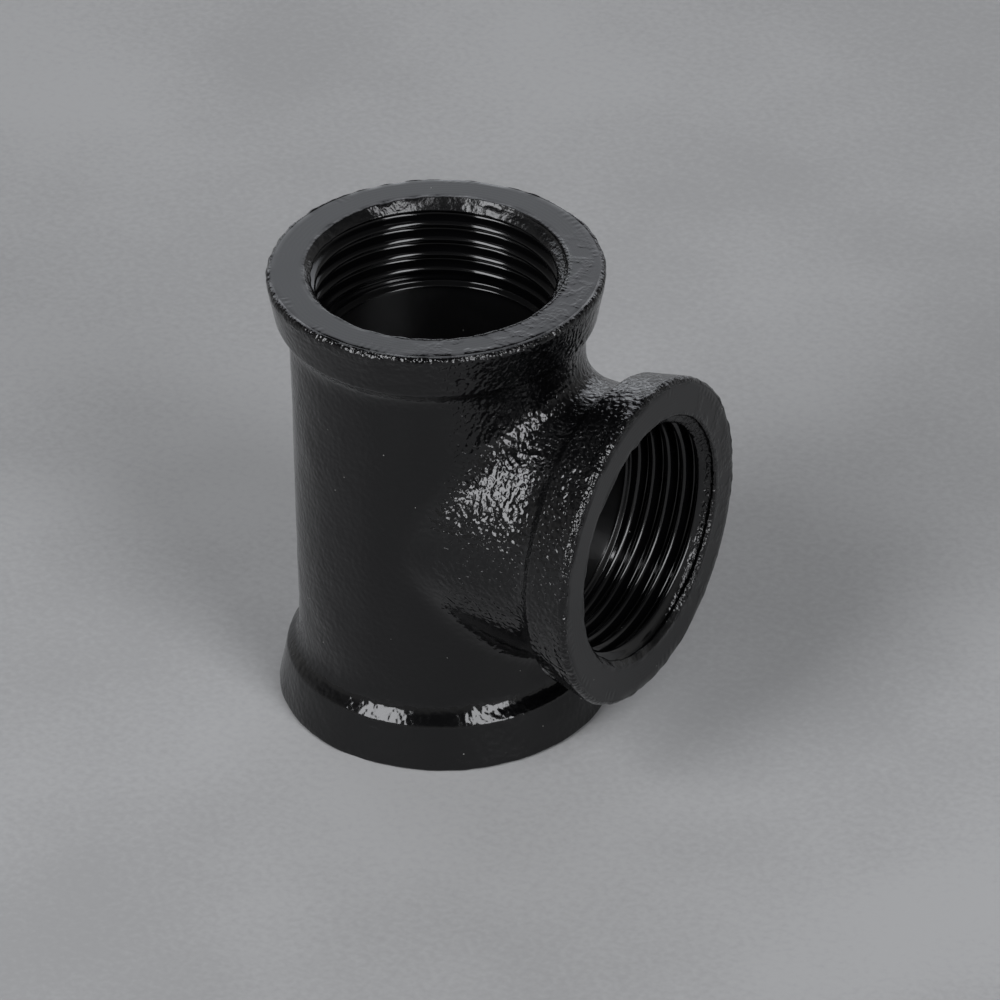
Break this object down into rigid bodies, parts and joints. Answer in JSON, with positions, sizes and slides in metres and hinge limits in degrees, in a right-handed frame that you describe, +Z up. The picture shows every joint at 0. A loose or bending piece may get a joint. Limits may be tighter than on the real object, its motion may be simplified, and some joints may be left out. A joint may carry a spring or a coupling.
{
  "type": "threaded pipe tee fitting",
  "caption": "Black enamelled cast-iron pipe tee: a straight run and an equal side branch, each end a banded, internally threaded socket for joining pipes at a right angle.",
  "frame": {"origin": "centre of the lower end face, on the axis of the run", "axes": "+Z up the run, from the lower end face to the upper one; +X along the branch; the part mirrors across the XZ plane"},
  "size_m": [0.0417, 0.034, 0.05],
  "materials": {
    "black_enamel": "gloss black enamel over a sand-cast skin, smoother on the machined end faces"
  },
  "bodies": {
    "root": {"tee_casting": "black_enamel"}
  },
  "joints": []
}
